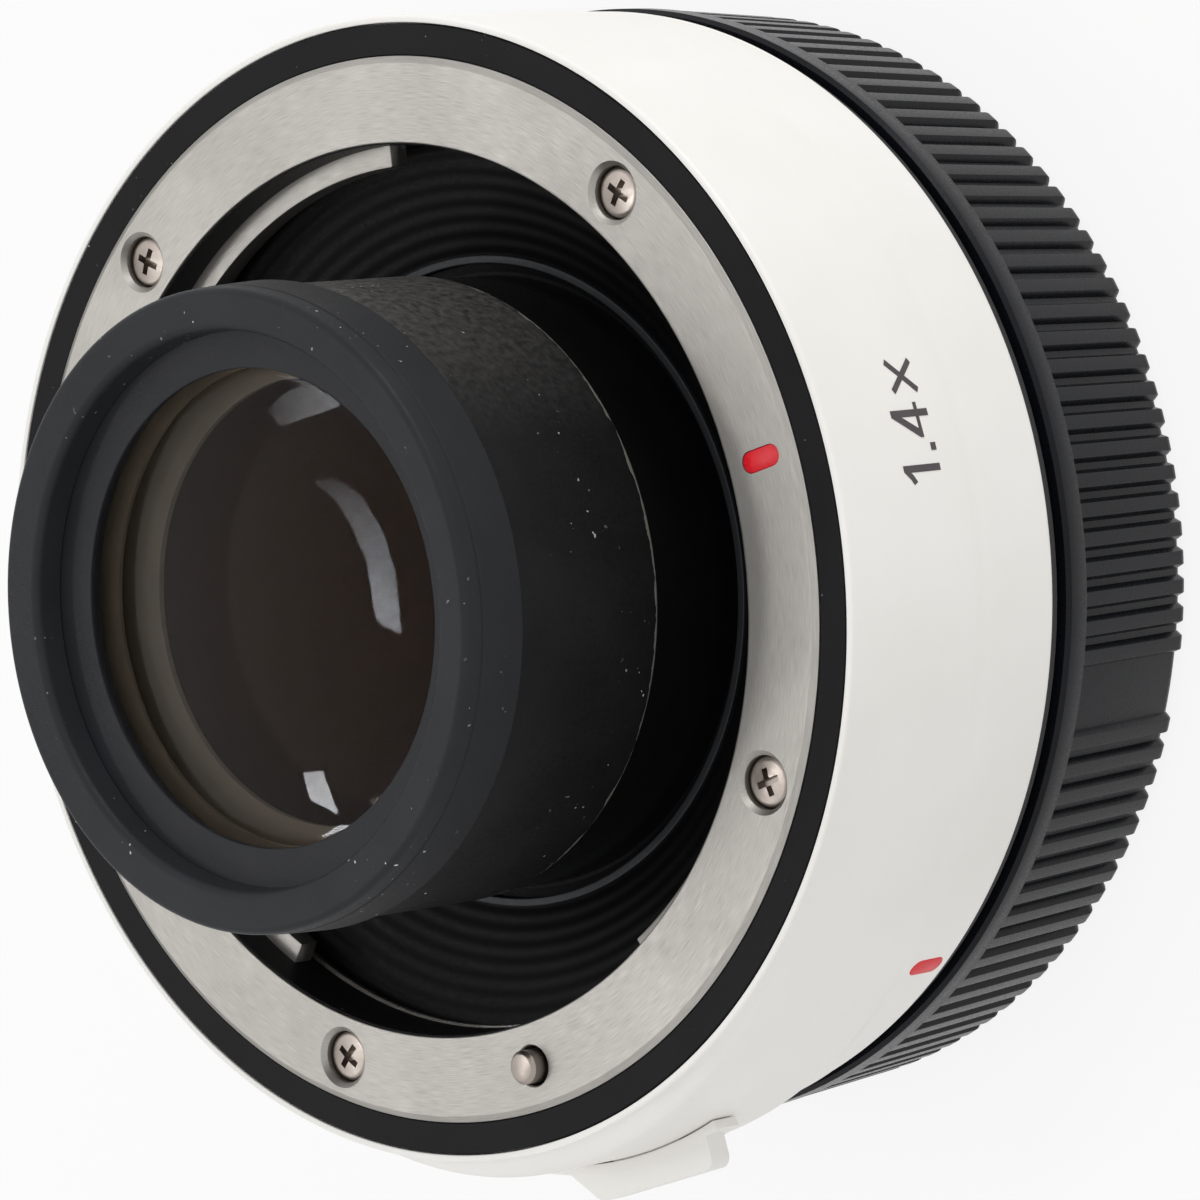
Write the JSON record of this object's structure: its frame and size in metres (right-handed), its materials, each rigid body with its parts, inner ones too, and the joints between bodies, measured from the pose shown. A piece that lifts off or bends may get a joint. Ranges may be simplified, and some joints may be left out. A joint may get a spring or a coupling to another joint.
{
  "type": "camera teleconverter",
  "caption": "White camera teleconverter with a raised black lens tube, steel bayonet mount, sprung lock lever and ribbed twist-on rear cap.",
  "frame": {"origin": "centre of the rear cap's flat back, on the optical axis", "axes": "+Z along the optical axis towards the lens side; -Y through the front index mark; -X towards the lock lever"},
  "size_m": [0.0749, 0.0712, 0.0496],
  "materials": {
    "white_paint": "satin off-white paint on metal",
    "black_lacquer": "matt black paint",
    "mount_steel": "turned, satin",
    "screw_steel": "plain",
    "pin_steel": "ground",
    "spring_steel": "drawn wire and rolled strip",
    "red_enamel": "filled mark",
    "shim_brass": "rolled sheet",
    "baffle_plastic": "matt, ridged",
    "black_anodised": "black anodised",
    "textured_lacquer": "fine textured black paint",
    "bumper_rubber": "matt",
    "seal_rubber": "matt",
    "coated_glass": "polished and coated",
    "contact_plastic": "moulded",
    "contact_gilt": "gilt",
    "board_laminate": "solder mask",
    "chip_epoxy": "moulded",
    "flex_film": "film",
    "cap_plastic": "fine grained",
    "white_ink": "printed"
  },
  "bodies": {
    "converter": {"outer_barrel": "white_paint", "front_trim_ring": "black_lacquer", "lens_mount_ring": "mount_steel", "camera_mount_ring": "mount_steel", "lens_mount_screws": "screw_steel", "camera_mount_screws": "screw_steel", "optical_screws": "screw_steel", "contact_block_screws": "screw_steel", "board_screws": "screw_steel", "spring_stud": "pin_steel", "bayonet_spring": "spring_steel", "lock_spring": "spring_steel", "contact_springs": "spring_steel", "front_index_mark": "red_enamel", "rear_index_mark": "red_enamel", "front_shim": "shim_brass", "optical_shim": "shim_brass", "light_baffle": "baffle_plastic", "rear_cover": "baffle_plastic", "rear_mask": "baffle_plastic", "inner_chassis": "black_anodised", "optical_barrel": "black_anodised", "front_retainer": "black_anodised", "front_spacer": "black_anodised", "middle_retainer": "black_anodised", "rear_cell": "black_anodised", "rear_retainer": "black_anodised", "lens_tube": "textured_lacquer", "bumper_ring": "bumper_rubber", "drip_seal": "seal_rubber", "lens_element_1": "coated_glass", "lens_element_2": "coated_glass", "lens_element_3": "coated_glass", "lens_element_4": "coated_glass", "lens_element_5": "coated_glass", "lens_element_6": "coated_glass", "lens_element_7": "coated_glass", "rear_contact_block": "contact_plastic", "front_contact_block": "contact_plastic", "rear_contacts": "contact_gilt", "circuit_board": "board_laminate", "board_chips": "chip_epoxy", "front_flex": "flex_film", "rear_flex": "flex_film"},
    "lock": {"lock_lever": "white_paint", "lever_screws": "screw_steel", "lock_carrier": "black_anodised", "lock_pin": "pin_steel"},
    "contact_pins": {"front_contact_pins": "contact_gilt"},
    "cap": {"rear_cap": "cap_plastic", "cap_mark": "white_ink"}
  },
  "joints": [
    {"name": "lock_slide", "type": "slide", "parent": "converter", "child": "lock", "axis": [0, 0, -1], "range_m": [0, 0.002], "stiffness_N_per_m": 500, "springref_m": -0.003, "deforming": ["lock_spring"]},
    {"name": "contact_press", "type": "slide", "parent": "converter", "child": "contact_pins", "axis": [0, 0, -1], "range_m": [0, 0.0007], "stiffness_N_per_m": 1200, "springref_m": -0.001, "deforming": ["contact_springs"]},
    {"name": "cap_twist", "type": "hinge", "parent": "converter", "child": "cap", "pos_m": [0, 0, 0], "axis": [0, 0, 1], "range_deg": [-58.5, 0]}
  ]
}
